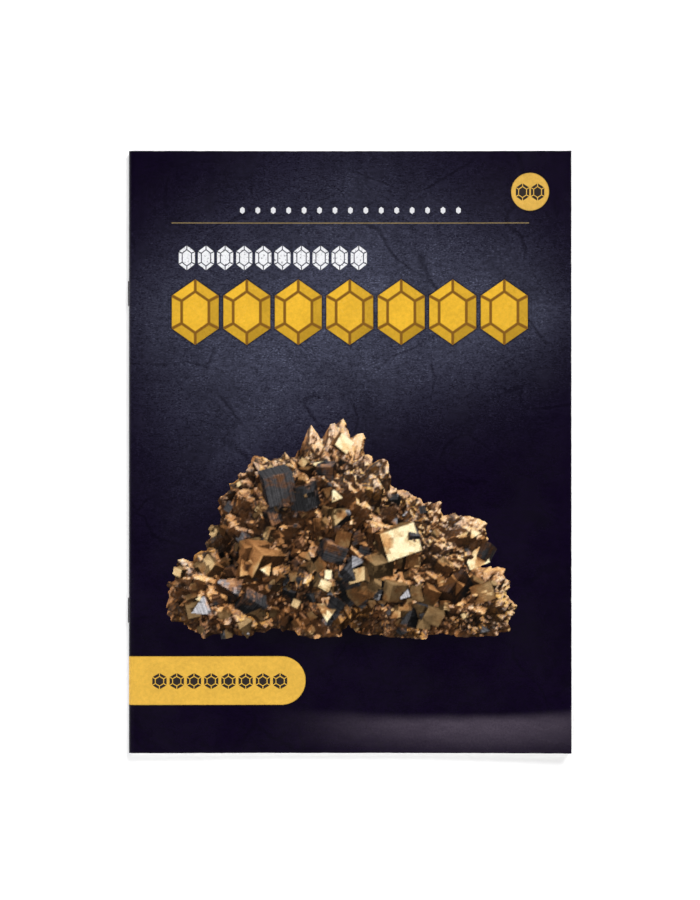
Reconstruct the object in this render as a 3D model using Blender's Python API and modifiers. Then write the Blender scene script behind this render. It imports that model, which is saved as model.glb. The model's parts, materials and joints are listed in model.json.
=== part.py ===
"""A thin wire-stitched magazine, closed and lying on its back cover.

Metres, +Z up. X runs across the page from the spine to the fore edge and Y up the page. The
origin is under the middle of the magazine, on the surface that it lies on.

Every sheet of paper is folded once, and the folds nest in each other at the spine. The cover
sheet is made as two leaves that meet at its fold, because the front leaf turns there.
"""

import math

import bmesh
import bpy
from mathutils import Vector

# Trimmed page
PAGE_WIDTH = 0.2095
PAGE_HEIGHT = 0.285

# Paper, and the air between two sheets that lie on each other
COVER_THICKNESS = 0.00025
LEAF_THICKNESS = 0.00012
AIR_GAP = 0.0003

# Folds: the height that the stiff fold holds open inside the centre sheet, and how far each
# fold reaches past a half circle
FOLD_HOLLOW = 0.0012
FOLD_REACH = 0.001

# Upper leaves: they settle from the height of the folds over this run and lift towards the fore
# edge, at the foot by this much more than at the head
SETTLE_RUN = 0.075
LIFT_RUN = 0.09
FOOT_EXTRA = 0.8

# Sheets from the middle of the magazine outwards, and how far each upper leaf lifts at its edge
SHEETS = ("centre_sheet", "middle_sheet", "outer_sheet")
SHEET_LIFTS = (0.0002, 0.0005, 0.0009)
COVER_LIFT = 0.0015

# Steps of the paper's curves: round a fold, across an upper leaf, and up the page
FOLD_STEPS = 14
LEAF_STEPS = 16
PAGE_STEPS = 6

# Wire stitches
WIRE_RADIUS = 0.00025
STITCH_WIDTH = 0.012
STITCH_SPACING = 0.15
CLINCH_LENGTH = 0.0045
BEND_RADIUS = 0.0005
BEND_STEPS = 4

# Gap between the two leaves of the cover along the fold
FOLD_GAP = 0.0003

PAPER_WHITE = (0.83, 0.82, 0.78, 1.0)
PRINT_SLATE = (0.033, 0.033, 0.055, 1.0)
WIRE_GREY = (0.62, 0.62, 0.63, 1.0)

# Half heights of the folds, from the centre sheet outwards, to the middle of the paper
sheet_half_heights = [
    (FOLD_HOLLOW + LEAF_THICKNESS) / 2 + level * (LEAF_THICKNESS + AIR_GAP)
    for level in range(len(SHEETS))
]
cover_half_height = sheet_half_heights[-1] + (LEAF_THICKNESS + COVER_THICKNESS) / 2 + AIR_GAP

# The height of the fold line, the outside of the spine, the line where the folds end, the fore
# edge, and the wire outside the spine, which the front leaf of the cover turns round
fold_z = cover_half_height + COVER_THICKNESS / 2
stitch_proud = AIR_GAP + 2 * WIRE_RADIUS
spine_x = -(PAGE_WIDTH - stitch_proud) / 2
fore_x = spine_x + PAGE_WIDTH
fold_x = spine_x + COVER_THICKNESS / 2 + cover_half_height + FOLD_REACH
wire_x = spine_x - AIR_GAP - WIRE_RADIUS


def clear_scene():
    for old in list(bpy.data.objects):
        bpy.data.objects.remove(old)


def new_collection(name):
    collection = bpy.data.collections.new(name)
    bpy.context.scene.collection.children.link(collection)
    return collection


def new_material(name, colour, roughness, metallic):
    material = bpy.data.materials.new(name)
    material.use_nodes = True
    shader = material.node_tree.nodes["Principled BSDF"]
    shader.inputs["Base Color"].default_value = colour
    shader.inputs["Roughness"].default_value = roughness
    shader.inputs["Metallic"].default_value = metallic
    return material


def lower_leaf(half_height):
    """Cross-section of the leaf under a fold: flat, from the fore edge to the fold."""
    return [(fore_x, fold_z - half_height)]


def fold(half_height, start_degrees, end_degrees):
    """Cross-section of a fold, from its foot at 0 degrees round the spine to its top at 180."""
    reach = half_height + FOLD_REACH
    points = []
    for step in range(FOLD_STEPS + 1):
        turn = math.radians(start_degrees + (end_degrees - start_degrees) * step / FOLD_STEPS)
        points.append((fold_x - reach * math.sin(turn), fold_z - half_height * math.cos(turn)))
    return points


def upper_leaf(half_height):
    """Cross-section of the leaf over a fold, which settles where the fold lets go of it."""
    points = []
    for step in range(1, LEAF_STEPS + 1):
        x = fold_x + (fore_x - fold_x) * step / LEAF_STEPS
        settled = min(1.0, (x - fold_x) / SETTLE_RUN)
        drop = (FOLD_HOLLOW - AIR_GAP) * (1 - math.cos(math.pi * settled)) / 2
        points.append((x, fold_z + half_height - drop))
    return points


def edge_rise(x, y):
    """Share of its lift that an upper leaf has at a place on the page."""
    outward = max(0.0, (x - fore_x + LIFT_RUN) / LIFT_RUN)
    footward = 0.5 - y / PAGE_HEIGHT
    return outward**2 * (1 + FOOT_EXTRA * footward**2)


def paper(name, profile, lift, thickness, material, collection):
    """A sheet of paper: a flat grid takes the folded cross-section, and then its thickness."""
    columns = len(profile) - 1
    shape = bmesh.new()
    bmesh.ops.create_grid(shape, x_segments=columns, y_segments=PAGE_STEPS, size=0.5)
    for point in shape.verts:
        x, z = profile[round((point.co.x + 0.5) * columns)]
        y = point.co.y * PAGE_HEIGHT
        rise = lift * edge_rise(x, y) if z > fold_z else 0
        point.co = (x, y, z + rise)
    mesh = bpy.data.meshes.new(name)
    shape.to_mesh(mesh)
    shape.free()
    mesh.materials.append(material)
    sheet = bpy.data.objects.new(name, mesh)
    collection.objects.link(sheet)
    solidify = sheet.modifiers.new("thickness", "SOLIDIFY")
    solidify.thickness = thickness
    solidify.offset = 0
    solidify.use_even_offset = True
    return sheet


def leg_room(name, leg_y, collection):
    """A cutter for the hole that a stitch's leg passes through in every fold."""
    half = WIRE_RADIUS + AIR_GAP
    low_x = spine_x - stitch_proud
    shape = bmesh.new()
    bmesh.ops.create_cube(shape, size=1)
    bmesh.ops.scale(shape, verts=shape.verts, vec=(fold_x - low_x, 2 * half, 2 * half))
    mesh = bpy.data.meshes.new(name)
    shape.to_mesh(mesh)
    shape.free()
    cutter = bpy.data.objects.new(name, mesh)
    cutter.location = ((low_x + fold_x) / 2, leg_y, fold_z)
    cutter.hide_render = True
    cutter.display_type = "WIRE"
    collection.objects.link(cutter)
    return cutter


def cut(sheet, cutters):
    for cutter in cutters:
        modifier = sheet.modifiers.new("cut_" + cutter.name, "BOOLEAN")
        modifier.operation = "DIFFERENCE"
        modifier.object = cutter


def rounded(corners):
    """The path through these corners, with each right angle turned as an arc."""
    path = [corners[0]]
    for before, corner, after in zip(corners, corners[1:], corners[2:]):
        arrive = (corner - before).normalized() * BEND_RADIUS
        leave = (after - corner).normalized() * BEND_RADIUS
        for step in range(BEND_STEPS + 1):
            turn = math.pi / 2 * step / BEND_STEPS
            path.append(corner - arrive * (1 - math.sin(turn)) + leave * (1 - math.cos(turn)))
    return path + [corners[-1]]


def stitch(name, y, material, collection):
    """A bent wire: its bar outside the spine, two legs through the folds, and the bent ends."""
    inner_x = fold_x - FOLD_HOLLOW / 2
    leg = STITCH_WIDTH / 2
    tip = leg - CLINCH_LENGTH
    corners = [(inner_x, tip), (inner_x, leg), (wire_x, leg)]
    corners += [(x, -across) for x, across in reversed(corners)]
    path = rounded([Vector((x, y + across, fold_z)) for x, across in corners])
    curve = bpy.data.curves.new(name, "CURVE")
    curve.dimensions = "3D"
    curve.bevel_depth = WIRE_RADIUS
    curve.bevel_resolution = 2
    curve.use_fill_caps = True
    spline = curve.splines.new("POLY")
    spline.points.add(len(path) - 1)
    for point, place in zip(spline.points, path):
        point.co = (*place, 1)
    curve.materials.append(material)
    wire = bpy.data.objects.new(name, curve)
    collection.objects.link(wire)


def build_inner_sheets(material, collection, cutters):
    for name, half_height, lift in zip(SHEETS, sheet_half_heights, SHEET_LIFTS):
        profile = lower_leaf(half_height) + fold(half_height, 0, 180) + upper_leaf(half_height)
        sheet = paper(name, profile, lift, LEAF_THICKNESS, material, collection)
        cut(sheet, cutters)


def build_cover(material, collection, cutters):
    """The cover's two leaves. The front one hangs on an empty that stands on its turning line."""
    half_gap = math.degrees(FOLD_GAP / 2 / cover_half_height)
    profile = lower_leaf(cover_half_height) + fold(cover_half_height, 0, 90 - half_gap)
    back = paper("back_cover", profile, COVER_LIFT, COVER_THICKNESS, material, collection)
    cut(back, cutters)

    profile = fold(cover_half_height, 90 + half_gap, 180) + upper_leaf(cover_half_height)
    front = paper("front_cover", profile, COVER_LIFT, COVER_THICKNESS, material, collection)
    cut(front, cutters)

    turning_line = bpy.data.objects.new("cover_turning_line", None)
    turning_line.location = (wire_x, 0, fold_z)
    collection.objects.link(turning_line)
    front.parent = turning_line
    front.location = (-wire_x, 0, -fold_z)


def main():
    clear_scene()
    magazine = new_collection("magazine")
    holes = new_collection("cutters")
    cover_paper = new_material("cover_print", PRINT_SLATE, 0.4, 0)
    leaf_paper = new_material("page_paper", PAPER_WHITE, 0.6, 0)
    wire = new_material("stitch_wire", WIRE_GREY, 0.3, 1)

    leg_rooms = []
    for name, y in (("upper_staple", STITCH_SPACING / 2), ("lower_staple", -STITCH_SPACING / 2)):
        stitch(name, y, wire, magazine)
        leg_rooms.append(leg_room(name + "_head_hole", y + STITCH_WIDTH / 2, holes))
        leg_rooms.append(leg_room(name + "_foot_hole", y - STITCH_WIDTH / 2, holes))
    build_inner_sheets(leaf_paper, magazine, leg_rooms)
    build_cover(cover_paper, magazine, leg_rooms)


main()
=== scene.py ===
"""Looks of a thin wire-stitched magazine that lies on its back cover, seen from straight above.

Metres, +Z up. X runs across the page from the spine to the fore edge and Y up the page. The print
is laid out in millimetres on the page: across from the left edge and down from the head.
"""

import json
import math
import random

import bmesh
import bpy
import numpy as np
from mathutils import Matrix, Vector, noise
from mathutils.bvhtree import BVHTree

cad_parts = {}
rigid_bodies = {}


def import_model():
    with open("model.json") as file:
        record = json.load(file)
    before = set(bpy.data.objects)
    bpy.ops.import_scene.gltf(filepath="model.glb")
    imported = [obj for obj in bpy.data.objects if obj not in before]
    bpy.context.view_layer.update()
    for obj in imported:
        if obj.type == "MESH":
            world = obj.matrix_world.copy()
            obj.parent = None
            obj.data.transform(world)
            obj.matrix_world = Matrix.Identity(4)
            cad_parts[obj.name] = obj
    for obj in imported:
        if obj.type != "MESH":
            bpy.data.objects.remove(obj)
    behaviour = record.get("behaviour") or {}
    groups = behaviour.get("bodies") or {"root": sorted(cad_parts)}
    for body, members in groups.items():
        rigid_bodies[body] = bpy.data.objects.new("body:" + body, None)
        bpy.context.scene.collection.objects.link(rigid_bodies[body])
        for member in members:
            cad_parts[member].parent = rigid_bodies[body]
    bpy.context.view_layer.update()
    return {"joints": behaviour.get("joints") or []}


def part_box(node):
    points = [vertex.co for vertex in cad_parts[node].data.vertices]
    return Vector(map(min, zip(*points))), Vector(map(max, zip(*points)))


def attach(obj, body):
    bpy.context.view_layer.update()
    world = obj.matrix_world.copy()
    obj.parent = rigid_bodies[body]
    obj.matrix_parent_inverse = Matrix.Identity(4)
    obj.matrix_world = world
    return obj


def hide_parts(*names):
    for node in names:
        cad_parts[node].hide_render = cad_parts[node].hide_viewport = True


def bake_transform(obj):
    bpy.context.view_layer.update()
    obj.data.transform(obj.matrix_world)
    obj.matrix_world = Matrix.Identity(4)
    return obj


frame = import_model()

MM = 0.001

# The page and the fold, from the frame
back_low, back_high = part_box("back_cover")
spine_x, fore_x = back_low.x, back_high.x
page_height = back_high.y - back_low.y
cover_hinge = frame["joints"][0]
fold_z = cover_hinge["pos_m"][2]
page_mm = (page_height / MM, (fore_x - spine_x) / MM)

# Paper: thickness, air between two sheets, and the shape of a fold, as the solids have them
COVER_THICKNESS = 0.00025
LEAF_THICKNESS = 0.00012
AIR_GAP = 0.0003
FOLD_HOLLOW = 0.0012
FOLD_REACH = 0.001
SETTLE_RUN = 0.075
LIFT_RUN = 0.09
FOOT_EXTRA = 0.8
COVER_LIFT = 0.0015
SHEETS = (("centre_sheet", 0.0002), ("middle_sheet", 0.0005), ("outer_sheet", 0.0009))
WAVE_HEIGHT = 0.00006

# How finely the paper is built
FOLD_COLUMNS = 28
BACK_COLUMNS = 24
FRONT_COLUMNS = 44
PAGE_ROWS = 48

# Wire stitches
STITCHES = ("upper_staple", "lower_staple")
WIRE_RADIUS = 0.00025
STITCH_LEG = 0.006
CLINCH_LENGTH = 0.0045

cover_half = fold_z - COVER_THICKNESS / 2
fold_x = spine_x + COVER_THICKNESS / 2 + cover_half + FOLD_REACH


def round_bar(left, right, middle, radius):
    """Sizes of a round-ended bar in millimetres on the page. Its ends reach past left and right."""
    return {"Left": left, "Right": right, "Middle": middle, "Radius": radius}


def stone_row(left, right, middle, count, half_width, half_height):
    """Sizes of a row of cut stones in millimetres on the page."""
    row = {"Left": left, "Right": right, "Middle": middle, "Count": count}
    return {**row, "Half Width": half_width, "Half Height": half_height}


# Layout of the front cover, in millimetres on the page
RULE = round_bar(20.5, 189.3, 34.1, 0.23)
DISC = round_bar(190.0, 190.0, 19.35, 8.95)
TAB = round_bar(-40.0, 72.3, 250.65, 11.5)
GOLD_STONES = stone_row(19.4, 190.0, 76.3, 7, 11.1, 15.5)
WHITE_STONES = stone_row(23.1, 113.5, 50.6, 10, 3.8, 5.9)
SMALL_STONES = stone_row(50.2, 159.8, 28.1, 15, 1.1, 1.65)
TAB_STONES = stone_row(10.6, 75.8, 250.9, 8, 3.4, 3.9)
DISC_STONES = stone_row(182.9, 197.1, 19.5, 2, 3.2, 4.2)

# Layout of the back cover and of the inner sides, across from the fold
BACK_STONES = stone_row(-133.0, -76.5, 240.0, 3, 6.2, 9.0)
BACK_RULE = round_bar(-189.4, -20.0, 262.0, 0.22)
INSIDE_RULE = round_bar(20.0, 189.4, 33.8, 0.22)
INSIDE_STONES = stone_row(62.0, 147.5, 132.0, 3, 10.4, 15.3)
PAGE_BAND = round_bar(34.0, 175.5, 32.0, 14.0)
PAGE_STONES = stone_row(66.0, 143.5, 32.0, 5, 5.4, 8.0)
PAGE_PANEL = round_bar(131.0, 172.0, 226.0, 18.0)
PANEL_STONES = stone_row(121.0, 182.0, 226.0, 3, 6.6, 9.6)
TEXT_COLUMNS = (
    {"Left": 20.0, "Right": 98.0, "Top": 64.0, "Bottom": 250.0},
    {"Left": 111.0, "Right": 189.5, "Top": 64.0, "Bottom": 196.0},
)

# The step from one thin line to the next, in millimetres, and how many lines a paragraph takes
LINE_PITCH = 4.4
PARAGRAPH = 9

GOLD = (0.702, 0.412, 0.060, 1)
DISC_GOLD = (0.630, 0.378, 0.073, 1)
DEEP_GOLD = (0.706, 0.400, 0.030, 1)
RULE_GOLD = (0.270, 0.195, 0.090, 1)
WHITE_INK = (0.77, 0.77, 0.79, 1)
GREY_INK = (0.42, 0.42, 0.45, 1)
DARK_INK = (0.028, 0.022, 0.019, 1)
SHADOW_INK = (0.0015, 0.001, 0.003, 1)
RIDGE_INK = (0.19, 0.085, 0.012, 1)
GLEAM_INK = (0.060, 0.047, 0.067, 1)
PAPER = (0.80, 0.79, 0.76, 1)
PAPER_CORE = (0.74, 0.73, 0.70, 1)
RUBBED_PAPER = (0.50, 0.49, 0.48, 1)
SLATE_DARK = (0.0027, 0.0006, 0.0080, 1)
SLATE_LIT = (0.0365, 0.0405, 0.0580, 1)

# How soft the edge of a printed shape is, in millimetres, and how high the paper's felt, in metres
INK_EDGE = 0.12
PAPER_RELIEF = 0.0002

# The light on the slate, in millimetres: its middle, its reach, how it drifts to the left below
# the middle, and how squarely and how fast it fades
LIGHT_ACROSS, LIGHT_DOWN = 104, 76
LIGHT_WIDTH, LIGHT_HEIGHT = 219, 66
LIGHT_DRIFT = 0.83
LIGHT_SQUARENESS = 0.825
LIGHT_FADE = 2.65

# A cut stone: its shoulder as a share of its half height, the depth of its facets and the width of
# the lines between them as shares of its half width, and a place beyond all its lines
SHOULDER = 0.5
FACET_DEPTH = 0.42
FACET_LINE = 0.055
FAR_OFF = 9

# The pale gleam at the foot: the top of its bowed edge, the bow's drop, middle and half span
GLEAM_TOP = 264.5
GLEAM_BOW = -2.5
GLEAM_MIDDLE = 150
GLEAM_SPAN = 60

# The printed specimen: its window of the page, the step of the print, where its middle and its
# ground lie, in millimetres, and its scale
PICTURE_LEFT, PICTURE_RIGHT = 16.0, 186.0
PICTURE_TOP, PICTURE_BOTTOM = 122.0, 232.0
PICTURE_STEP = 0.5
PICTURE_MIDDLE = 101.0
PICTURE_FLOOR = 225.0
SPECIMEN_SCALE = 1.1

# How it is looked at: degrees that the view tilts down, and the rays that look for light
VIEW_TILT = 14
VIEW_DISTANCE = 300
SIDE_RAYS = 7
SIDE_REACH = 22
MIRROR_REACH = 60
ROCK, BRASS, DARK = range(3)


def into_scene(name, data):
    """A new object of the scene, with this mesh, curve, camera or light."""
    thing = bpy.data.objects.new(name, data)
    bpy.context.scene.collection.objects.link(thing)
    return thing


class Shading:
    """A node tree with short ways to add the nodes that the finishes are made of."""

    def __init__(self, tree):
        self.tree = tree
        self.arithmetic = self.math, self.plus, self.minus, self.times

    def add(self, kind, settings=None, values=None):
        node = self.tree.nodes.new(kind)
        for name, value in (settings or {}).items():
            setattr(node, name, value)
        for name, value in (values or {}).items():
            self.plug(value, node.inputs[name])
        return node

    def plug(self, value, socket):
        if isinstance(value, bpy.types.NodeSocket):
            self.tree.links.new(value, socket)
        else:
            socket.default_value = value

    def math(self, operation, *values):
        node = self.add("ShaderNodeMath", {"operation": operation})
        for value, socket in zip(values, node.inputs):
            self.plug(value, socket)
        return node.outputs[0]

    def plus(self, first, second):
        return self.math("ADD", first, second)

    def minus(self, first, second):
        return self.math("SUBTRACT", first, second)

    def times(self, first, second):
        return self.math("MULTIPLY", first, second)

    def length(self, across, down):
        square = self.plus(self.times(across, across), self.times(down, down))
        return self.math("SQRT", square)

    def vector(self, operation, *values):
        node = self.add("ShaderNodeVectorMath", {"operation": operation})
        for value, socket in zip(values, node.inputs):
            self.plug(value, socket)
        return node.outputs["Value" if operation == "LENGTH" else "Vector"]

    def scaled(self, place, factors):
        return self.vector("MULTIPLY", place, factors)

    def ramp(self, value, low, high, at_low=0.0, at_high=1.0):
        """A smooth step from at_low to at_high as value goes from low to high."""
        ends = {"Value": value, "From Min": low, "From Max": high, "To Min": at_low, "To Max": at_high}
        return self.add("ShaderNodeMapRange", {"interpolation_type": "SMOOTHSTEP"}, ends).outputs[0]

    def mix(self, share, first, second, blend="MIX"):
        node = self.add("ShaderNodeMix", {"data_type": "RGBA", "blend_type": blend, "clamp_factor": True})
        for value, number in ((share, 0), (first, 6), (second, 7)):
            self.plug(value, node.inputs[number])
        return node.outputs[2]

    def tinted(self, colour, tint):
        return self.mix(1, colour, tint, "MULTIPLY")

    def between(self, value, low, high):
        return self.times(self.math("GREATER_THAN", value, low), self.math("LESS_THAN", value, high))

    def noise(self, place, scale, detail=3.0, roughness=0.5, warp=0.0):
        values = {"Vector": place, "Scale": scale, "Detail": detail}
        values |= {"Roughness": roughness, "Distortion": warp}
        return self.add("ShaderNodeTexNoise", None, values).outputs["Fac"]

    def uneven(self, place, scale, detail, roughness, low, high):
        """A factor that wanders between low and high over the surface."""
        return self.ramp(self.noise(place, scale, detail, roughness), 0.3, 0.7, low, high)

    def inside(self, distance):
        """The mask of a printed shape, from the distance outside its edge."""
        return self.ramp(distance, -INK_EDGE, INK_EDGE, 1, 0)

    def relief(self, height, strength):
        values = {"Strength": strength, "Distance": PAPER_RELIEF, "Height": height}
        return self.add("ShaderNodeBump", None, values).outputs["Normal"]

    def split(self, place):
        node = self.add("ShaderNodeSeparateXYZ", None, {"Vector": place})
        return node.outputs["X"], node.outputs["Y"]

    def group(self, name, values):
        node = self.add("ShaderNodeGroup", {"node_tree": bpy.data.node_groups[name]})
        for socket, value in values.items():
            self.plug(value, node.inputs[socket])
        return node.outputs

    def page(self):
        """The place on the unfolded sheet: millimetres from the left edge and down from the head."""
        place = self.add("ShaderNodeUVMap", {"uv_map": "page"}).outputs["UV"]
        return self.scaled(place, (1 / MM, 1 / MM, 0))


def new_group(name, inputs, outputs):
    """A shader node group with named sockets. All but the page and the colours are numbers."""
    tree = bpy.data.node_groups.new(name, "ShaderNodeTree")
    kinds = {"Page": "NodeSocketVector", "Color": "NodeSocketColor"}
    for way, sockets in (("INPUT", inputs), ("OUTPUT", outputs)):
        for socket in sockets:
            kind = kinds.get(socket, "NodeSocketFloat")
            tree.interface.new_socket(socket, in_out=way, socket_type=kind)
    shading = Shading(tree)
    entry = shading.add("NodeGroupInput").outputs
    leave = shading.add("NodeGroupOutput").inputs
    return shading, entry, leave


def new_material(name, roughness, metallic=0.0):
    material = bpy.data.materials.new(name)
    material.use_nodes = True
    shader = material.node_tree.nodes["Principled BSDF"]
    shader.inputs["Roughness"].default_value = roughness
    shader.inputs["Metallic"].default_value = metallic
    return material, Shading(material.node_tree), shader.inputs


def make_round_bar():
    """Distance from the edge of a round-ended bar, in millimetres, less than 0 inside it."""
    inputs = ("Page", "Left", "Right", "Middle", "Radius")
    shading, entry, leave = new_group("round_ended_bar", inputs, ("Distance",))
    calc, minus = shading.math, shading.minus
    across, down = shading.split(entry["Page"])
    nearest = calc("MINIMUM", calc("MAXIMUM", across, entry["Left"]), entry["Right"])
    reach = shading.length(minus(across, nearest), minus(down, entry["Middle"]))
    shading.plug(minus(reach, entry["Radius"]), leave["Distance"])


def make_stone_row():
    """A row of six-sided cut stones: their edge distance, facet tone and the lines between facets."""
    inputs = ("Page", "Left", "Right", "Middle", "Count", "Half Width", "Half Height")
    shading, entry, leave = new_group("row_of_cut_stones", inputs, ("Distance", "Tone", "Line"))
    calc, plus, minus, times = shading.arithmetic
    across, down = shading.split(entry["Page"])
    width, height = entry["Half Width"], entry["Half Height"]

    cell = calc("DIVIDE", minus(entry["Right"], entry["Left"]), entry["Count"])
    along = calc("DIVIDE", minus(across, entry["Left"]), cell)
    side_way = times(minus(calc("FRACT", along), 0.5), cell)
    down_way = minus(down, entry["Middle"])
    aside, away = calc("ABSOLUTE", side_way), calc("ABSOLUTE", down_way)

    # The side facet meets the slanted one at the shoulder
    rise = times(height, SHOULDER)
    slant = plus(times(aside, rise), times(away, width))
    slant = minus(slant, times(height, width))
    slant = calc("DIVIDE", slant, shading.length(rise, width))
    side = minus(aside, width)
    distance = calc("MAXIMUM", slant, side)
    before, beyond = minus(entry["Left"], across), minus(across, entry["Right"])
    outside = calc("MAXIMUM", before, beyond)
    shading.plug(calc("MAXIMUM", distance, outside), leave["Distance"])

    # The flat table in the middle, and the ridges that run from its corners to the stone's own
    from_table = plus(distance, times(width, FACET_DEPTH))
    inside_table = calc("LESS_THAN", from_table, 0)
    line_width = times(width, FACET_LINE)
    table_edge = calc("ABSOLUTE", from_table)
    shoulder = calc("ABSOLUTE", minus(slant, side))
    is_slant = calc("GREATER_THAN", slant, side)
    point = plus(aside, minus(FAR_OFF, times(is_slant, FAR_OFF)))
    ridge = plus(calc("MINIMUM", shoulder, point), times(inside_table, FAR_OFF))
    nearest = calc("MINIMUM", table_edge, ridge)
    core, rim = times(line_width, 0.6), times(line_width, 1.6)
    shading.plug(shading.ramp(nearest, core, rim, 1, 0), leave["Line"])

    lit = plus(times(calc("SIGN", side_way), -0.10), 0.84)
    lit = plus(lit, times(times(calc("SIGN", down_way), is_slant), -0.13))
    facets = times(lit, minus(1, inside_table))
    shading.plug(plus(facets, times(inside_table, 1.04)), leave["Tone"])


def make_slate():
    """The dark stone ground of the print: grain, cloudy patches, fine cracks and dark corners."""
    shading, entry, leave = new_group("slate_ground", ("Page", "Light"), ("Color",))
    calc, plus, minus, times = shading.arithmetic
    place = entry["Page"]
    across, down = shading.split(place)

    # The light lies on the upper half of the page and drifts to the left towards the foot
    drop = minus(down, LIGHT_DOWN)
    sideways = minus(calc("ABSOLUTE", across), LIGHT_ACROSS)
    sideways = plus(sideways, times(calc("MAXIMUM", drop, 0), LIGHT_DRIFT))
    along = calc("POWER", calc("DIVIDE", calc("ABSOLUTE", sideways), LIGHT_WIDTH), LIGHT_SQUARENESS)
    downward = calc("POWER", calc("DIVIDE", calc("ABSOLUTE", drop), LIGHT_HEIGHT), LIGHT_SQUARENESS)
    fade = calc("POWER", plus(along, downward), LIGHT_FADE)
    light = calc("EXPONENT", times(fade, -1))

    # The sides of each leaf and its corners at the head are darker
    half_width = page_mm[1] / 2
    from_middle = calc("ABSOLUTE", minus(calc("ABSOLUTE", across), half_width))
    from_side = minus(half_width, from_middle)
    light = times(light, shading.ramp(from_side, -12, 30, 0.25, 1))
    from_corner = shading.length(from_side, down)
    light = times(light, shading.ramp(from_corner, 0, 75, 0.35, 1))
    light = times(light, entry["Light"])

    patches = shading.noise(place, 0.022, 4, 0.6, 0.6)
    grain = shading.noise(shading.scaled(place, (0.9, 1.7, 1)), 0.30, 6, 0.75)
    pits = shading.noise(shading.scaled(place, (0.85, 1.4, 1)), 1.0, 3, 0.85)
    relief = shading.ramp(grain, 0.28, 0.72, 0.52, 1.42)
    stone = plus(relief, times(minus(pits, 0.5), 3.8))

    # Light flecks, like short fibres, that crowd together here and there
    flecks = shading.noise(shading.scaled(place, (0.6, 1.5, 1)), 1.3, 2, 0.6)
    crowding = shading.ramp(shading.noise(place, 0.10, 4, 0.6), 0.40, 0.62, 0.5, 2.5)
    stone = plus(calc("MAXIMUM", stone, 0.36), shading.ramp(flecks, 0.54, 0.72, 0, crowding))
    stone = times(stone, shading.ramp(patches, 0.3, 0.7, 0.80, 1.20))

    # Cracks with a light lip, bent by noise and broken off here and there
    bent = place
    for scale, reach in ((0.012, 90), (0.25, 2.5)):
        bend = shading.add("ShaderNodeTexNoise", None, {"Vector": place, "Scale": scale, "Detail": 2.0})
        shift = shading.vector("SCALE", shading.vector("SUBTRACT", bend.outputs["Color"], (0.5, 0.5, 0.5)))
        shift.node.inputs["Scale"].default_value = reach
        bent = shading.vector("ADD", bent, shift)
    values = {"Vector": bent, "Scale": 0.018, "Randomness": 1.0}
    veins = shading.add("ShaderNodeTexVoronoi", {"feature": "DISTANCE_TO_EDGE"}, values).outputs["Distance"]
    broken = shading.ramp(shading.noise(place, 0.045, 3), 0.43, 0.57)
    crack = times(shading.ramp(veins, 0.0, 0.022, 1, 0), broken)
    lip = times(shading.ramp(veins, 0.020, 0.08, 1, 0), broken)
    stone = times(stone, minus(1, times(crack, 0.52)))
    stone = times(stone, plus(1, times(lip, 0.20)))

    base = shading.tinted(SLATE_DARK, shading.ramp(stone, 0.5, 1.5, 0.7, 1.3))
    glow = shading.tinted(SLATE_LIT, times(light, stone))
    shading.plug(shading.mix(1, base, glow, "ADD"), leave["Color"])


def make_gold():
    """Printed gold with a fine sponged grain. Depth is the distance inside the shape's edge."""
    shading, entry, leave = new_group("printed_gold", ("Page", "Color", "Depth", "Tone"), ("Color",))
    sponge = shading.uneven(entry["Page"], 0.55, 5, 0.7, 0.90, 1.07)
    cloud = shading.uneven(entry["Page"], 0.07, 2, 0.5, 0.95, 1.04)
    edge = shading.ramp(entry["Depth"], 0.0, 0.7, 0.82, 1.0)
    tone = shading.times(shading.times(shading.times(entry["Tone"], sponge), cloud), edge)
    shading.plug(shading.tinted(entry["Color"], tone), leave["Color"])


def make_fibre():
    """The faint relief and cloudiness of coated paper."""
    shading, entry, leave = new_group("paper_fibre", ("Page", "Relief"), ("Tone", "Height"))
    felt = shading.noise(shading.scaled(entry["Page"], (1, 0.35, 1)), 3.2, 4, 0.6)
    cloud = shading.uneven(entry["Page"], 0.12, 3, 0.5, 0.975, 1.015)
    shading.plug(cloud, leave["Tone"])
    shading.plug(shading.times(felt, entry["Relief"]), leave["Height"])


def make_rubbed_edge():
    """Where handling has rubbed the ink off: along the trimmed edges and down the fold."""
    shading, entry, leave = new_group("rubbed_edge", ("Page", "Width"), ("Mask",))
    calc, minus, times = shading.math, shading.minus, shading.times
    across, down = shading.split(entry["Page"])
    height, width = page_mm
    from_head = calc("MINIMUM", down, minus(height, down))
    from_fore = minus(width, calc("ABSOLUTE", across))
    from_trim = calc("MINIMUM", from_head, from_fore)
    from_fold = calc("ABSOLUTE", minus(across, FOLD_LINE))
    reach = times(shading.noise(entry["Page"], 0.7, 4, 0.7), entry["Width"])
    trim = shading.ramp(minus(from_trim, reach), -0.1, 0.05, 1, 0)
    fold = shading.ramp(minus(from_fold, reach), -0.2, 0.15, 1, 0)
    patchy = shading.ramp(shading.noise(entry["Page"], 0.11, 3), 0.5, 0.62)
    shading.plug(times(calc("MAXIMUM", trim, fold), patchy), leave["Mask"])


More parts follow.
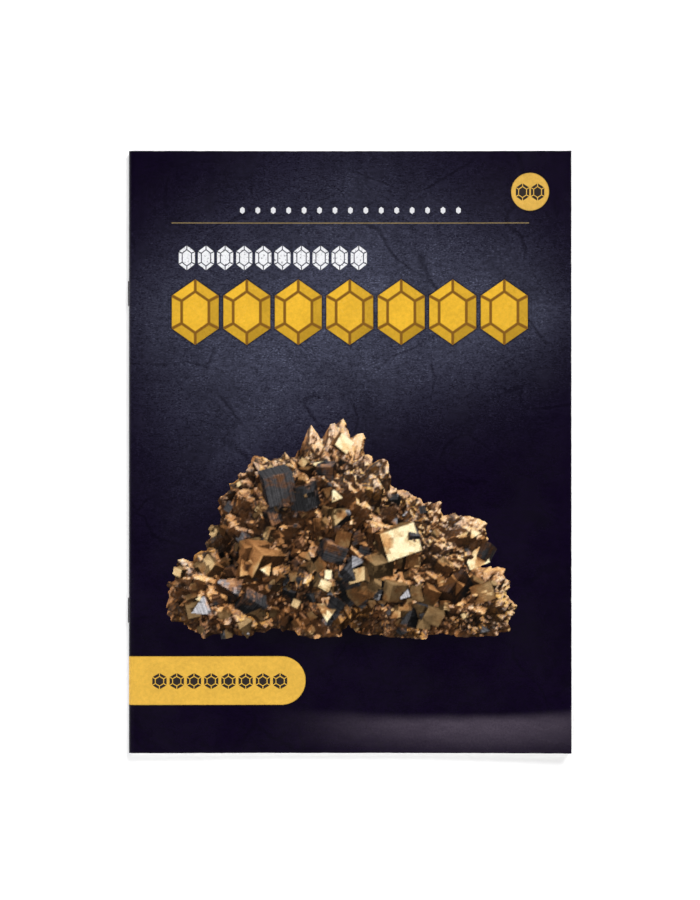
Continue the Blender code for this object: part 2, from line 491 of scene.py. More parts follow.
def make_thin_lines():
    """A column of thin ragged lines that stand for the text of a page."""
    inputs = ("Page", "Left", "Right", "Top", "Bottom")
    shading, entry, leave = new_group("column_of_thin_lines", inputs, ("Mask",))
    calc, plus, minus, times = shading.arithmetic
    across, down = shading.split(entry["Page"])
    line = calc("DIVIDE", minus(down, entry["Top"]), LINE_PITCH)
    number = calc("FLOOR", line)
    from_middle = calc("ABSOLUTE", minus(calc("FRACT", line), 0.5))
    thin = shading.ramp(from_middle, 0.12, 0.17, 1, 0)
    seat = shading.add("ShaderNodeCombineXYZ", None, {"X": number, "Y": entry["Left"]})
    chance = shading.add("ShaderNodeTexWhiteNoise", None, {"Vector": seat.outputs[0]}).outputs["Value"]
    short = times(calc("GREATER_THAN", chance, 0.84), times(chance, 45))
    last = minus(entry["Right"], plus(short, times(chance, 2.5)))
    inside = shading.between(across, entry["Left"], last)
    inside = times(inside, shading.between(down, entry["Top"], entry["Bottom"]))
    paragraph = calc("GREATER_THAN", calc("FRACT", calc("DIVIDE", number, PARAGRAPH)), 0.05)
    shading.plug(times(times(thin, inside), paragraph), leave["Mask"])


class Print:
    """The colours of a printed side, built up one ink over another."""

    def __init__(self, shading, page, colour):
        self.shading = shading
        self.page = page
        self.colour = colour

    def ink(self, mask, tint, share=1.0):
        self.colour = self.shading.mix(self.shading.times(mask, share), self.colour, tint)

    def shape(self, distance, tint, tone, share, halo):
        """A gilt shape with a soft dark line round it."""
        shading = self.shading
        shadow = shading.ramp(distance, 0.0, 1.1, halo, 0)
        self.ink(shadow, SHADOW_INK, share)
        look = {"Page": self.page, "Color": tint, "Depth": shading.times(distance, -1), "Tone": tone}
        gold = shading.group("printed_gold", look)["Color"]
        self.ink(shading.inside(distance), gold, share)

    def form(self, group, sizes):
        return self.shading.group(group, {"Page": self.page, **sizes})

    def bar(self, sizes, tint, share=1.0, halo=0.6):
        self.shape(self.form("round_ended_bar", sizes)["Distance"], tint, 1.0, share, halo)

    def gilt_stones(self, sizes, tint, share=1.0):
        stones = self.form("row_of_cut_stones", sizes)
        self.shape(stones["Distance"], tint, stones["Tone"], share, 0.6)
        ridge = self.shading.times(self.shading.inside(stones["Distance"]), stones["Line"])
        self.ink(ridge, RIDGE_INK, share)

    def plain_stones(self, sizes, tint, share=1.0, ridged=True):
        """Stones in one flat ink, where the ground shows through as the lines between facets."""
        stones = self.form("row_of_cut_stones", sizes)
        mask = self.shading.inside(stones["Distance"])
        if ridged:
            clear = self.shading.minus(1, stones["Line"])
            mask = self.shading.times(mask, clear)
        self.ink(mask, tint, share)


def sheet_path(half_height):
    """The middle of a folded sheet, end-on: arc length from the fold line, x, z and outward normal."""
    places = [(fore_x, fold_z - half_height), (fold_x, fold_z - half_height)]
    reach = half_height + FOLD_REACH
    steps = 4 * FOLD_COLUMNS
    for step in range(1, steps):
        turn = math.pi * step / steps
        places.append((fold_x - reach * math.sin(turn), fold_z - half_height * math.cos(turn)))
    run = fore_x - fold_x
    steps = 4 * FRONT_COLUMNS
    for step in range(steps + 1):
        x = fold_x + run * step / steps
        settled = min(1.0, (x - fold_x) / SETTLE_RUN)
        drop = (FOLD_HOLLOW - AIR_GAP) * (1 - math.cos(math.pi * settled)) / 2
        places.append((x, fold_z + half_height - drop))
    path = np.array(places)
    legs = np.diff(path, axis=0)
    arc = np.concatenate([[0], np.cumsum(np.hypot(legs[:, 0], legs[:, 1]))])
    fold_index = 1 + 2 * FOLD_COLUMNS
    way = np.gradient(path, arc, axis=0)
    way /= np.hypot(way[:, 0], way[:, 1])[:, None]
    return arc - arc[fold_index], path, np.stack([-way[:, 1], way[:, 0]], axis=1)


def edge_rise(x, y):
    """Share of its lift that an upper leaf has at a place on the page."""
    outward = max(0.0, (x - fore_x + LIFT_RUN) / LIFT_RUN)
    footward = 0.5 - y / page_height
    return outward**2 * (1 + FOOT_EXTRA * footward**2)


class FoldedSheet:
    """Turns a place on a flat sheet into its place on the folded one."""

    def __init__(self, half_height, lift):
        self.arc, self.path, self.normal = sheet_path(half_height)
        self.lift = lift
        # Arc length where the fold ends and the front begins, and what makes it a place on the page
        self.crest = self.arc[1 + 4 * FOLD_COLUMNS]
        self.shift = (fold_x - spine_x) - self.crest

    def place(self, arc, y, offset):
        x, z = (np.interp(arc, self.arc, self.path[:, axis]) for axis in (0, 1))
        out_x, out_z = (np.interp(arc, self.arc, self.normal[:, axis]) for axis in (0, 1))
        rise = 0.0
        if arc > 0:
            loose = min(1.0, arc / SETTLE_RUN)
            wave = noise.noise(Vector((x * 22, y * 16, 0.3)))
            rise = self.lift * edge_rise(x, y) + WAVE_HEIGHT * loose * wave
        return Vector((x + out_x * offset, y, z + out_z * offset + rise))


cover_form = FoldedSheet(cover_half, COVER_LIFT)
FOLD_LINE = cover_form.shift / MM


def stitch_places():
    """How far up the page the middle of each stitch is."""
    boxes = (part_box(name) for name in STITCHES)
    return [(low.y + high.y) / 2 for low, high in boxes]


def lattice(shape, arcs, rows, level):
    return [[shape.verts.new((arc, y, level)) for y in rows] for arc in arcs]


def fill_lattice(shape, grid, material, left_out=None):
    """Four-sided faces between the points of a lattice, without the block that is left out."""
    for i in range(len(grid) - 1):
        for j in range(len(grid[0]) - 1):
            if left_out and left_out[0] <= i < left_out[1] and left_out[2] <= j < left_out[3]:
                continue
            face = shape.faces.new((grid[i][j], grid[i + 1][j], grid[i + 1][j + 1], grid[i][j + 1]))
            face.material_index = material


def border(grid, low_i, high_i, low_j, high_j):
    """The points round a block of a lattice, in order."""
    ring = [grid[i][low_j] for i in range(low_i, high_i)]
    ring += [grid[high_i][j] for j in range(low_j, high_j)]
    ring += [grid[i][high_j] for i in range(high_i, low_i, -1)]
    ring += [grid[low_i][j] for j in range(high_j, low_j, -1)]
    return ring


def ring_edges(shape, ring):
    edges = []
    for first, second in zip(ring, ring[1:] + ring[:1]):
        edges.append(shape.edges.get((first, second)) or shape.edges.new((first, second)))
    return edges


def close_rim(shape, outer, inner, material):
    """Joins the two sides of a sheet along its cut edges."""
    last_i, last_j = len(outer) - 1, len(outer[0]) - 1
    above, below = (border(side, 0, last_i, 0, last_j) for side in (outer, inner))
    for k in range(len(above)):
        following = (k + 1) % len(above)
        corners = (above[following], above[k], below[k], below[following])
        shape.faces.new(corners).material_index = material


def fold_up(shape, form, thickness, name, materials):
    """Gives a flat sheet its page map, folds it, and makes it a piece."""
    page = shape.loops.layers.uv.new("page")
    for face in shape.faces:
        for loop in face.loops:
            arc, y, _ = loop.vert.co
            loop[page].uv = (arc + form.shift, page_height / 2 - y)
    for point in shape.verts:
        arc, y, level = point.co
        point.co = form.place(arc, y, level * thickness / 2)
    bmesh.ops.recalc_face_normals(shape, faces=shape.faces)
    mesh = bpy.data.meshes.new(name)
    shape.to_mesh(mesh)
    shape.free()
    for material in materials:
        mesh.materials.append(material)
    mesh.shade_smooth()
    mesh.set_sharp_from_angle(angle=math.radians(50))
    return into_scene(name, mesh)


def sheet_columns(form):
    """Arc lengths of the columns: few on the flat back, close round the fold, even on the front."""
    back = np.linspace(form.arc[0], form.arc[1], BACK_COLUMNS, endpoint=False)
    nose = np.linspace(form.arc[1], form.crest, FOLD_COLUMNS, endpoint=False)
    front = np.linspace(form.crest, form.arc[-1], FRONT_COLUMNS + 1)
    return np.concatenate([back, nose, front])


def printed_cover(materials, picture):
    """The cover sheet, with a fine mesh where the specimen is printed to carry its colours."""
    form = cover_form
    arcs = sheet_columns(form)
    rows = np.linspace(-page_height / 2, page_height / 2, PAGE_ROWS + 1)
    across = np.arange(PICTURE_LEFT, PICTURE_RIGHT + 0.01, PICTURE_STEP) * MM - form.shift
    down = np.arange(PICTURE_TOP, PICTURE_BOTTOM + 0.01, PICTURE_STEP)
    up = page_height / 2 - down[::-1] * MM

    low_i, high_i = np.searchsorted(arcs, across[0]) - 1, np.searchsorted(arcs, across[-1])
    low_j, high_j = np.searchsorted(rows, up[0]) - 1, np.searchsorted(rows, up[-1])
    shape = bmesh.new()
    layer = shape.verts.layers.float_color.new("picture")
    outer = lattice(shape, arcs, rows, 1)
    inner = lattice(shape, arcs, rows, -1)
    window = lattice(shape, across, up, 1)
    fill_lattice(shape, outer, 0, (low_i, high_i, low_j, high_j))
    fill_lattice(shape, window, 0)
    block = ring_edges(shape, border(outer, low_i, high_i, low_j, high_j))
    hole = ring_edges(shape, border(window, 0, len(across) - 1, 0, len(up) - 1))
    bmesh.ops.triangle_fill(shape, use_beauty=True, edges=block + hole, normal=(0, 0, 1))
    fill_lattice(shape, inner, 1)
    close_rim(shape, outer, inner, 2)

    for point in shape.verts:
        point[layer] = (0, 0, 0, 0)
    for i, column in enumerate(window):
        for j, point in enumerate(column):
            point[layer] = picture[len(up) - 1 - j][i]
    cover = fold_up(shape, form, COVER_THICKNESS, "cover", materials)
    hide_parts("front_cover", "back_cover")
    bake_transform(cover)


def inner_sheets(materials):
    half_height = (FOLD_HOLLOW + LEAF_THICKNESS) / 2
    for level, (name, lift) in enumerate(SHEETS):
        form = FoldedSheet(half_height + level * (LEAF_THICKNESS + AIR_GAP), lift)
        shape = bmesh.new()
        arcs = sheet_columns(form)
        rows = np.linspace(-page_height / 2, page_height / 2, PAGE_ROWS // 2 + 1)
        outer = lattice(shape, arcs, rows, 1)
        inner = lattice(shape, arcs, rows, -1)
        fill_lattice(shape, outer, 0)
        fill_lattice(shape, inner, 0)
        close_rim(shape, outer, inner, 1)
        sheet = fold_up(shape, form, LEAF_THICKNESS, name.replace("sheet", "pages"), materials)
        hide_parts(name)
        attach(sheet, cover_hinge["parent"])


# The specimen that is pictured on the cover: it is carved and photographed here, and only its
# picture goes on the paper
def lump(shape, centre, size, seed, fineness):
    """A craggy rock that stands on the ground."""
    made = bmesh.ops.create_icosphere(shape, subdivisions=fineness, radius=1)["verts"]
    shift = Vector((seed * 7.3, seed * 3.1, seed * 5.7))
    for point in made:
        out = point.co.normalized()
        swell = noise.fractal(out * 1.5 + shift, 0.8, 2.1, 4) * 0.32
        crags = noise.voronoi(out * 3.4 + shift)[0]
        chips = noise.voronoi(out * 8 + shift)[0]
        reach = 0.88 + swell + (crags[1] - crags[0]) * 0.26 + (chips[1] - chips[0]) * 0.10
        point.co = Vector(a * b for a, b in zip(out, size)) * reach + Vector(centre)
        point.co.z = max(point.co.z, 0.0)


def crystal(shape, centre, turn, sides, square):
    """A block with square corners, or a blunt four-sided wedge."""
    if square:
        made = bmesh.ops.create_cube(shape, size=1)["verts"]
    else:
        wedge = {"segments": 4, "radius1": 0.75, "radius2": 0.1, "depth": 0.9}
        made = bmesh.ops.create_cone(shape, cap_ends=True, **wedge)["verts"]
    shaping = Matrix.Translation(centre) @ turn.to_matrix().to_4x4() @ Matrix.Diagonal((*sides, 1))
    bmesh.ops.transform(shape, matrix=shaping, verts=made)


class Specimen:
    """A rock set with crystals, in millimetres, standing on the ground with its face to -Y."""

    # Each lump of the rock: centre, half sizes, seed of its crags, and how finely it is cut
    LUMPS = (
        ((-14, 4, 36), (40, 34, 48), 3, 6), ((-50, -6, 14), (24, 22, 20), 8, 5),
        ((26, 0, 24), (34, 28, 34), 5, 6), ((54, -6, 11), (20, 20, 16), 9, 5),
    )
    # Places on its face where crystals crowd, the sizes of the large ones, and the counts of the rest
    NESTS = ((-24, 70), (-2, 52), (24, 44), (-36, 36), (6, 24), (46, 22), (-52, 18), (-20, 16), (30, 12))
    LARGE = [17, 16, 15, 14, 13, 12]
    MIDDLING, SMALL = 44, 200

    def __init__(self):
        self.random = random.Random(44)
        # Without a seed of its own, noise_vector follows the clock
        noise.seed_set(44)
        self.shape = bmesh.new()
        for centre, size, seed, fineness in self.LUMPS:
            lump(self.shape, centre, size, seed, fineness)
        # What each face is made of, how bright it is, and which way its growth lines run
        self.looks = [(ROCK, 0.5, 0.0, 0.0, 0.0)] * len(self.shape.faces)
        self.bed = BVHTree.FromBMesh(self.shape)
        self.set_crystals()
        self.tree = BVHTree.FromBMesh(self.shape)
        self.shape.free()
        self.looks = np.array(self.looks)

    def find_seat(self, number, size):
        """A place on the rock's face for a crystal, near one of the nests where they grow."""
        for _ in range(40):
            large = number < len(self.LARGE)
            nest = self.NESTS[number] if large else self.random.choice(self.NESTS)
            spread = 2 if large else 13
            x = self.random.gauss(nest[0], spread)
            z = self.random.gauss(nest[1], spread)
            place, normal, _, _ = self.bed.ray_cast(Vector((x, -200, z + 30)), Vector((0, 0.985, -0.17)))
            if place is not None and place.z > size * 0.3:
                return place, normal
        return None, None

    def set_crystals(self):
        pick = self.random
        sizes = self.LARGE + [pick.uniform(6, 10) for _ in range(self.MIDDLING)]
        sizes += [pick.uniform(2.2, 5) for _ in range(self.SMALL)]
        corner = Vector((1, 1, 1)).normalized()
        for number, size in enumerate(sizes):
            place, normal = self.find_seat(number, size)
            if place is None:
                continue
            facing = Vector((pick.gauss(0.1, 0.4), pick.gauss(-1, 0.3), pick.gauss(0.8, 0.35)))
            facing.normalize()
            spin = Matrix.Rotation(pick.uniform(0, 2 * math.pi), 3, facing).to_quaternion()
            turn = spin @ corner.rotation_difference(facing)
            sides = [size * pick.uniform(0.75, 1.15) for _ in range(3)]
            kind = DARK if pick.random() < 0.36 else BRASS
            seat = place + normal * size * pick.uniform(-0.15, 0.2)
            before = len(self.shape.faces)
            crystal(self.shape, seat, turn, sides, pick.random() < 0.75)
            self.note_faces(before, kind, pick.uniform(0.2, 1.0), turn)

    def note_faces(self, before, kind, tone, turn):
        """Notes what the new faces are made of, and which way their growth lines run."""
        upright, sideways = turn @ Vector((0, 0, 1)), turn @ Vector((1, 0, 0))
        self.shape.faces.ensure_lookup_table()
        for face in self.shape.faces[before:]:
            face.normal_update()
            stripe = upright if abs(face.normal.dot(upright)) < 0.5 else sideways
            self.looks.append((kind, tone, *stripe))


# The studio's lights: power, the way to it, and the cosines where it is full and where it ends
STUDIO_LIGHTS = (
    (2.9, (0.5, -0.5, 0.8), 0.90, 0.70),
    (1.1, (-0.9, -0.2, 0.4), 0.93, 0.76),
    (1.6, (-0.2, 0.3, 0.95), 0.94, 0.82),
    (0.20, (0.0, -1.0, -0.1), 0.95, 0.5),
)


def studio(ways):
    """The light that comes from each of these ways in the studio where the specimen stands."""
    light = 0.07 + 0.12 * np.clip(ways[:, 2], 0, 1)
    for power, towards, inner, outer in STUDIO_LIGHTS:
        towards = np.array(towards, float) / np.linalg.norm(towards)
        share = np.clip((ways @ towards - outer) / (inner - outer), 0, 1)
        light = light + power * (share * share * (3 - 2 * share))
    return light


def look_at_specimen(specimen):
    """Casts four rays for each point of the print and notes what they meet."""
    tilt = math.radians(VIEW_TILT)
    look = Vector((0, math.cos(tilt), -math.sin(tilt)))
    rise = Vector((0, math.sin(tilt), math.cos(tilt)))
    columns = round((PICTURE_RIGHT - PICTURE_LEFT) / PICTURE_STEP) + 1
    rows = round((PICTURE_BOTTOM - PICTURE_TOP) / PICTURE_STEP) + 1
    pick = random.Random(5)
    around = [Vector([pick.gauss(0, 1) for _ in range(3)]).normalized() for _ in range(SIDE_RAYS)]
    quarter = PICTURE_STEP / 4
    seen = []
    for row, column in np.ndindex(rows, columns):
        for aside, below in ((-1, -1), (1, -1), (-1, 1), (1, 1)):
            x = PICTURE_LEFT + column * PICTURE_STEP + aside * quarter - PICTURE_MIDDLE
            y = PICTURE_TOP + row * PICTURE_STEP + below * quarter - PICTURE_FLOOR
            start = (Vector((x, 0, 0)) - rise * y) / SPECIMEN_SCALE - look * VIEW_DISTANCE
            place, normal, index, _ = specimen.tree.ray_cast(start, look)
            if place is None or place.z < 0.02:
                continue
            normal = -normal if normal.dot(look) > 0 else normal
            if specimen.looks[index][0] == ROCK:
                bumps = noise.noise_vector(place * 0.5) * 0.30 + noise.noise_vector(place * 1.6) * 0.22
            else:
                bumps = noise.noise_vector(place * 0.25) * 0.03 + noise.cell_vector(place * 0.45) * 0.12
            bent = (normal + bumps).normalized()
            above = place + normal * 0.05
            sides = (way if way.dot(normal) > 0 else -way for way in around)
            open_sides = sum(specimen.tree.ray_cast(above, side, SIDE_REACH)[0] is None for side in sides)
            back = look.reflect(bent)
            shut = specimen.tree.ray_cast(above, back, MIRROR_REACH)[0] is not None
            patch = noise.fractal(place * 0.055, 0.6, 2.0, 5)
            speck = noise.noise(place * 1.1)
            open_share = open_sides / SIDE_RAYS
            seen.append((row, column, index, *place, *bent, *back, open_share, shut, patch, speck))
    return rows, columns, np.array(seen)


def blend_colours(share, first, second):
    return first * (1 - share[:, None]) + second * share[:, None]


def colour_of(seen, specimen):
    """The colour of each thing that a ray met."""
    index = seen[:, 2].astype(int)
    place, normal, back = seen[:, 3:6], seen[:, 6:9], seen[:, 9:12]
    open_share, shut, patch, speck = seen[:, 12], seen[:, 13], seen[:, 14], seen[:, 15]
    kind, tone, *stripe = specimen.looks[index].T
    stripe = np.stack(stripe, axis=1)

    along = (place * stripe).sum(axis=1)
    growth = np.sin(along * 5.2 + 1.3 * np.sin(along * 1.7))
    back = back + stripe * (growth * 0.07)[:, None]
    back /= np.linalg.norm(back, axis=1)[:, None]
    gleam = studio(back) * np.where(shut > 0, 0.12, 1.0)
    soft = studio(normal)

    brass, bronze = np.array([0.95, 0.56, 0.24]), np.array([0.62, 0.27, 0.09])
    rust, umber = np.array([0.54, 0.21, 0.07]), np.array([0.11, 0.065, 0.048])
    coal, cream = np.array([0.17, 0.165, 0.175]), np.array([0.86, 0.62, 0.46])
    ember = np.array([0.78, 0.30, 0.05])
    tarnish = np.clip(0.55 + patch * 1.6 + (0.6 - tone) * 0.9 - gleam * 0.35, 0, 1)
    metal = np.where((kind == BRASS)[:, None], blend_colours(tarnish, brass, bronze), coal)
    # Rust lies in patches and in the hollows of every crystal
    crust = np.clip(patch * 2.4 + speck * 0.5 - 0.15 + (0.55 - open_share) * 0.8, 0, 1) * 0.8
    metal = blend_colours(crust, metal, rust)
    earth = blend_colours(np.clip(0.55 + patch * 2.2, 0, 1), umber, rust)
    earth = blend_colours(np.clip(speck * 2 - patch * 2.5 - 0.3, 0, 1) * 0.6, earth, ember)
    earth = blend_colours(np.clip(speck * 3 - 0.9, 0, 1) * 0.5, earth, cream)
    deep = open_share**1.2
    metal_light = (gleam * (0.9 - 0.6 * crust) + soft * (0.12 + 0.3 * crust)) * (0.15 + 0.85 * deep)
    metal_light *= 1 + 0.35 * speck + 0.40 * growth * (kind == DARK)
    earth_light = soft**1.3 * 0.85 * deep
    glint = (gleam**2 * 0.025 * deep)[:, None] * np.array([1.0, 0.9, 0.8])
    rock = earth_light[:, None] * earth + glint
    light = np.where((kind == ROCK)[:, None], rock, metal_light[:, None] * metal)
    return 1 - np.exp(-1.1 * light)


def photograph():
    """The specimen's picture as rows of (red, green, blue, cover), where cover is 0 beside it."""
    specimen = Specimen()
    rows, columns, seen = look_at_specimen(specimen)
    total = np.zeros((rows, columns, 3))
    count = np.zeros((rows, columns))
    spots = seen[:, 0].astype(int), seen[:, 1].astype(int)
    np.add.at(total, spots, colour_of(seen, specimen))
    np.add.at(count, spots, 1)
    filled = count > 0
    total[filled] /= count[filled][:, None]
    # The colours run on a little past the edge, where the cover is 0
    for _ in range(3):
        near = [np.roll(total, step, axis) for axis in (0, 1) for step in (-1, 1)]
        known = [np.roll(filled, step, axis) for axis in (0, 1) for step in (-1, 1)]
        weight = np.sum(known, axis=0)
        spread = sum(a * b[..., None] for a, b in zip(near, known)) / np.maximum(weight, 1)[..., None]
        fresh = ~filled & (weight > 0)
        total[fresh] = spread[fresh]
        filled = filled | fresh
    return np.concatenate([total, (count / 4)[..., None]], axis=2).tolist()


def cover_print():
    """The printed outside of the cover."""
    material, shading, shader = new_material("cover_print", 0.3)
    calc, plus, minus, times = shading.arithmetic
    page = shading.page()
    across, down = shading.split(page)
    front = calc("GREATER_THAN", across, FOLD_LINE)
    back = minus(1, front)
    ground = shading.group("slate_ground", {"Page": page, "Light": shading.ramp(front, 0, 1, 0.5, 1.0)})
    sheet = Print(shading, page, ground["Color"])

    # The ground that the specimen stands on: its own shadow, and a pale gleam beyond it
    def pool(middle, width, depth, height):
        aside = calc("DIVIDE", minus(across, middle), width)
        below = calc("DIVIDE", minus(down, depth), height)
        spread = plus(times(aside, aside), times(below, below))
        return calc("EXPONENT", times(spread, -1))

    mottle = shading.ramp(shading.noise(shading.scaled(page, (1, 3, 1)), 0.09, 4, 0.6), 0.35, 0.7, 0.85, 1.05)
    grain = shading.uneven(page, 1.0, 3, 0.8, 0.8, 1.2)
    from_middle = calc("DIVIDE", minus(across, GLEAM_MIDDLE), GLEAM_SPAN)
    bow = times(calc("POWER", from_middle, 2), GLEAM_BOW)
    start = plus(plus(bow, GLEAM_TOP), times(shading.noise(page, 0.05, 3), 2.0))
    lit = shading.ramp(minus(down, start), 0.0, 6.0)
    lit = times(lit, shading.ramp(across, 50, 105))
    gleam = times(times(pool(166, 62, 271, 10.8), lit), times(mottle, grain))
    sheet.ink(gleam, GLEAM_INK, front)
    sheet.ink(pool(103, 76, 227, 8), SHADOW_INK, times(front, 0.9))

    picture = shading.add("ShaderNodeAttribute", {"attribute_name": "picture"}).outputs
    sharp = shading.uneven(page, 2.6, 3, 0.7, 0.78, 1.24)
    specimen = shading.tinted(picture["Color"], sharp)
    sheet.ink(shading.ramp(picture["Alpha"], 0.36, 0.64), specimen)

    sheet.bar(RULE, RULE_GOLD, front, 0.0)
    sheet.bar(DISC, DISC_GOLD, front)
    sheet.bar(TAB, GOLD, front)
    sheet.gilt_stones(GOLD_STONES, DEEP_GOLD, front)
    worn = shading.ramp(shading.noise(page, 0.9, 6, 0.78), 0.37, 0.45)
    sheet.plain_stones(WHITE_STONES, WHITE_INK, times(front, worn))
    sheet.plain_stones(SMALL_STONES, WHITE_INK, times(front, 0.85), ridged=False)
    sheet.plain_stones(TAB_STONES, DARK_INK, front)
    sheet.plain_stones(DISC_STONES, DARK_INK, front)
    sheet.gilt_stones(BACK_STONES, DEEP_GOLD, back)
    sheet.bar(BACK_RULE, RULE_GOLD, back, 0.0)

    # The wire has pressed the paper in where its legs go through the fold: the dents sink the relief, and
    # painted shade darkens them
    dent_depth_and_shade = 0.0
    for stitch_y in stitch_places():
        for leg in (-STITCH_LEG, STITCH_LEG):
            aside = minus(across, FOLD_LINE)
            below = minus(down, (page_height / 2 - stitch_y - leg) / MM)
            dent_depth_and_shade = plus(dent_depth_and_shade, shading.ramp(shading.length(aside, below), 0.25, 1.0, 1, 0))
    # Painted shade in the dents
    sheet.ink(dent_depth_and_shade, SHADOW_INK, 0.5)

    rubbed = shading.group("rubbed_edge", {"Page": page, "Width": 0.4})["Mask"]
    sheet.ink(rubbed, RUBBED_PAPER, 0.45)
    fibre = shading.group("paper_fibre", {"Page": page, "Relief": 1.0})
    shading.plug(shading.tinted(sheet.colour, fibre["Tone"]), shader["Base Color"])
    smears = shading.uneven(page, 0.03, 4, 0.6, 0.22, 0.30)
    shading.plug(plus(smears, times(rubbed, 0.25)), shader["Roughness"])
    height = minus(fibre["Height"], times(dent_depth_and_shade, 2.0))
    shading.plug(shading.relief(height, 0.05), shader["Normal"])
    shader["Specular IOR Level"].default_value = 0.38
    return material


def mirrored_page(shading):
    """The page coordinate with the left half of the sheet laid out as the mirror of the right."""
    across, down = shading.split(shading.page())
    values = {"X": shading.math("ABSOLUTE", across), "Y": down}
    return shading.add("ShaderNodeCombineXYZ", None, values).outputs[0]


def finish_paper(shading, shader, page, sheet, roughness):
    """Coated paper under the inks: its cloudiness, its sheen and its felt."""
    fibre = shading.group("paper_fibre", {"Page": page, "Relief": 1.0})
    shading.plug(shading.tinted(sheet.colour, fibre["Tone"]), shader["Base Color"])
    sheen = shading.uneven(page, 0.04, 3, 0.5, roughness - 0.05, roughness + 0.05)
    shading.plug(sheen, shader["Roughness"])
    shading.plug(shading.relief(fibre["Height"], 0.08), shader["Normal"])


def cover_inside():
    """The inner side of the cover: plain dark print with a gold rule and a row of stones."""
    material, shading, shader = new_material("cover_inside", 0.36)
    page = mirrored_page(shading)
    ground = shading.group("slate_ground", {"Page": page, "Light": 0.6})["Color"]
    sheet = Print(shading, page, ground)
    sheet.bar(INSIDE_RULE, RULE_GOLD, 1.0, 0.0)
    sheet.gilt_stones(INSIDE_STONES, DEEP_GOLD)
    finish_paper(shading, shader, page, sheet, 0.36)
    return material


def page_print():
    """An inner page: white paper with a dark band, two columns of thin lines and a gold panel."""
    material, shading, shader = new_material("page_print", 0.45)
    page = mirrored_page(shading)
    sheet = Print(shading, page, PAPER)
    for column in TEXT_COLUMNS:
        sheet.ink(sheet.form("column_of_thin_lines", column)["Mask"], GREY_INK, 0.8)
    band = sheet.form("round_ended_bar", PAGE_BAND)["Distance"]
    sheet.ink(shading.inside(band), sheet.form("slate_ground", {"Light": 1.5})["Color"])
    sheet.gilt_stones(PAGE_STONES, DEEP_GOLD)
    sheet.bar(PAGE_PANEL, GOLD, 1.0, 0.0)
    sheet.plain_stones(PANEL_STONES, DARK_INK)
    finish_paper(shading, shader, page, sheet, 0.45)
    return material


def cut_edge():
    """The trimmed edge of the paper: white core with the fine streaks of the knife."""
    material, shading, shader = new_material("cut_edge", 0.75)
    place = shading.page()
    streaks = shading.uneven(shading.scaled(place, (0.4, 0.4, 1)), 2.0, 4, 0.7, 0.86, 1.04)
    shading.plug(shading.tinted(PAPER_CORE, streaks), shader["Base Color"])
    return material


def stitch_wire():
    """Bright drawn steel wire, dulled a little in spots."""
    material, shading, shader = new_material("stitch_wire", 0.3, 1.0)
    place = shading.add("ShaderNodeTexCoord").outputs["Object"]
    drawn = shading.uneven(shading.scaled(place, (9000, 400, 9000)), 1.0, 3, 0.6, 0.22, 0.42)
    spots = shading.noise(place, 900, 3, 0.6)
    colour = shading.mix(shading.ramp(spots, 0.4, 0.7), (0.66, 0.66, 0.67, 1), (0.46, 0.45, 0.44, 1))
    shading.plug(colour, shader["Base Color"])
    shading.plug(drawn, shader["Roughness"])
    return material


def stitches(material):
    """The wire stitches: each is bent smoothly round the fold, with its ends shut inside."""
    bar_x = spine_x - WIRE_RADIUS * 1.05
    inner_x = fold_x - FOLD_HOLLOW / 2
    tip = STITCH_LEG - CLINCH_LENGTH
    corners = [(inner_x, tip), (inner_x, STITCH_LEG), (bar_x, STITCH_LEG)]
    corners += [(x, -y) for x, y in reversed(corners)]
    for name, middle in zip(STITCHES, stitch_places()):
        curve = bpy.data.curves.new(name.replace("staple", "stitch"), "CURVE")
        curve.dimensions = "3D"
        curve.bevel_depth = WIRE_RADIUS
        curve.bevel_resolution = 4
        curve.use_fill_caps = True
        path = rounded([Vector((x, middle + y, fold_z)) for x, y in corners], 2 * WIRE_RADIUS)
        spline = curve.splines.new("POLY")
        spline.points.add(len(path) - 1)
        for point, place in zip(spline.points, path):
            point.co = (*place, 1)
        spline.use_smooth = True
        curve.materials.append(material)
        wire = into_scene(curve.name, curve)
        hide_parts(name)
        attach(wire, cover_hinge["parent"])


def rounded(corners, radius, steps=6):
    """The path through these corners, with each right angle turned as an arc."""
    path = [corners[0]]
    for before, corner, after in zip(corners, corners[1:], corners[2:]):
        arrive = (corner - before).normalized() * radius
        leave = (after - corner).normalized() * radius
        for step in range(steps + 1):
            turn = math.pi / 2 * step / steps
            path.append(corner - arrive * (1 - math.sin(turn)) + leave * (1 - math.cos(turn)))
    return path + [corners[-1]]


# The photograph's frame: its long side in pixels, where the cover's middle lies below and right of
# the frame's middle, and the cover's height
FRAME_HEIGHT_PX = 900
COVER_DOWN_PX = 2.05
COVER_RIGHT_PX = -0.13
COVER_HEIGHT_PX = 602.4
LENS = 100
SENSOR = 36

# The side of the white table, in metres
TABLE_SIZE = 40


def set_camera():
    """A long lens that looks straight down on the cover and fills the frame as the photograph does."""
    per_pixel = page_height / COVER_HEIGHT_PX
    view_height = FRAME_HEIGHT_PX * per_pixel
    data = bpy.data.cameras.new("camera")
    data.lens = LENS
    data.sensor_width = SENSOR
    camera = into_scene("camera", data)
    middle_x = (spine_x + fore_x) / 2 - COVER_RIGHT_PX * per_pixel
    middle_y = COVER_DOWN_PX * per_pixel
    distance = view_height * LENS / SENSOR
    camera.location = (middle_x, middle_y, distance + fold_z + cover_half)
    bpy.context.scene.camera = camera


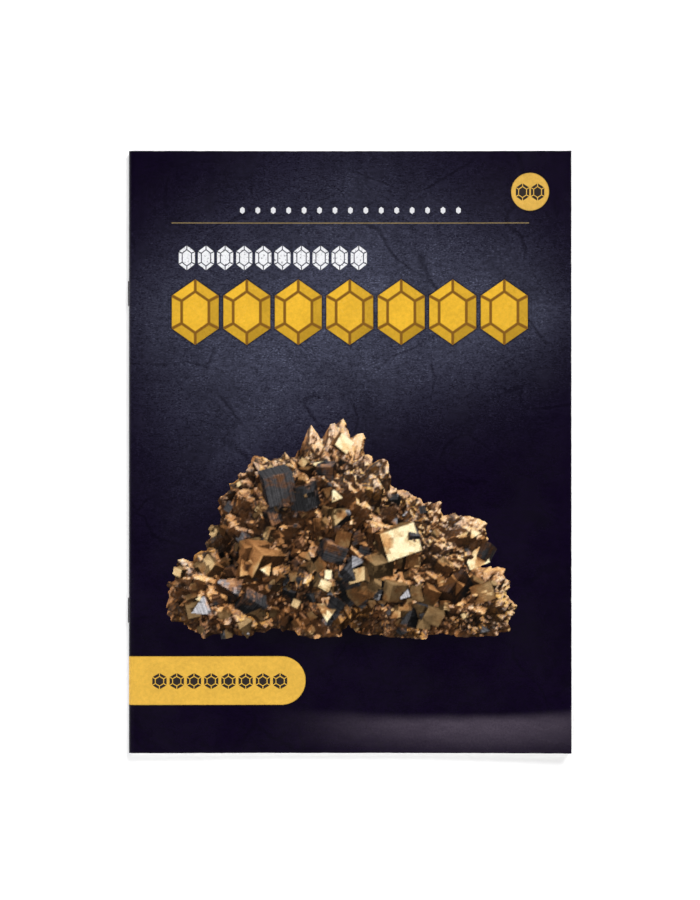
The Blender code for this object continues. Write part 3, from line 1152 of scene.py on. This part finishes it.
def soft_light(name, place, size, power):
    data = bpy.data.lights.new(name, "AREA")
    data.size = size
    data.energy = power
    lamp = into_scene(name, data)
    lamp.location = place
    lamp.rotation_euler = (-Vector(place)).to_track_quat("-Z", "Y").to_euler()


def set_stage():
    """A lit white table that also glows faintly, with soft lights beyond the head and the foot of the page,
    none above it.
    """
    bpy.ops.mesh.primitive_plane_add(size=TABLE_SIZE, location=(0, 0, -0.0001))
    floor = bpy.context.object
    floor.name = "floor"
    material, shading, shader = new_material("studio_floor", 0.9)
    place = shading.add("ShaderNodeTexCoord").outputs["Object"]
    tone = shading.uneven(place, 3, 3, 0.5, 0.99, 1.0)
    shading.plug(shading.tinted((0.9, 0.9, 0.9, 1), tone), shader["Base Color"])
    shader["Specular IOR Level"].default_value = 0.1
    # The table glows, faintly near the magazine and more further off: painted light that keeps it white and
    # washes out the shadows on it
    shader["Emission Color"].default_value = (1, 1, 1, 1)
    away = shading.vector("LENGTH", place)
    shading.plug(shading.ramp(away, 0.6, 3.0, 0.24, 0.9), shader["Emission Strength"])
    floor.data.materials.append(material)
    soft_light("head_light", (0.9, 1.75, 1.35), 1.4, 74)
    soft_light("foot_light", (-1.0, -1.75, 1.25), 1.6, 58)

    world = bpy.data.worlds.new("studio")
    bpy.context.scene.world = world
    world.use_nodes = True
    shading = Shading(world.node_tree)
    way = shading.add("ShaderNodeTexCoord").outputs["Generated"]
    up = shading.add("ShaderNodeSeparateXYZ", None, {"Vector": way}).outputs["Z"]
    sky = shading.mix(shading.ramp(up, 0.0, 0.75), (0.85, 0.85, 0.86, 1), (0.05, 0.05, 0.055, 1))
    seen = shading.add("ShaderNodeLightPath").outputs["Is Camera Ray"]
    sky = shading.mix(seen, sky, (2.6, 2.6, 2.6, 1))
    ground = world.node_tree.nodes["Background"]
    shading.plug(sky, ground.inputs["Color"])
    ground.inputs["Strength"].default_value = 0.4
    bpy.context.scene.view_settings.view_transform = "Standard"


def main():
    set_camera()
    set_stage()
    make_round_bar()
    make_stone_row()
    make_slate()
    make_gold()
    make_fibre()
    make_rubbed_edge()
    make_thin_lines()
    edge = cut_edge()
    printed_cover([cover_print(), cover_inside(), edge], photograph())
    inner_sheets([page_print(), edge])
    stitches(stitch_wire())


main()
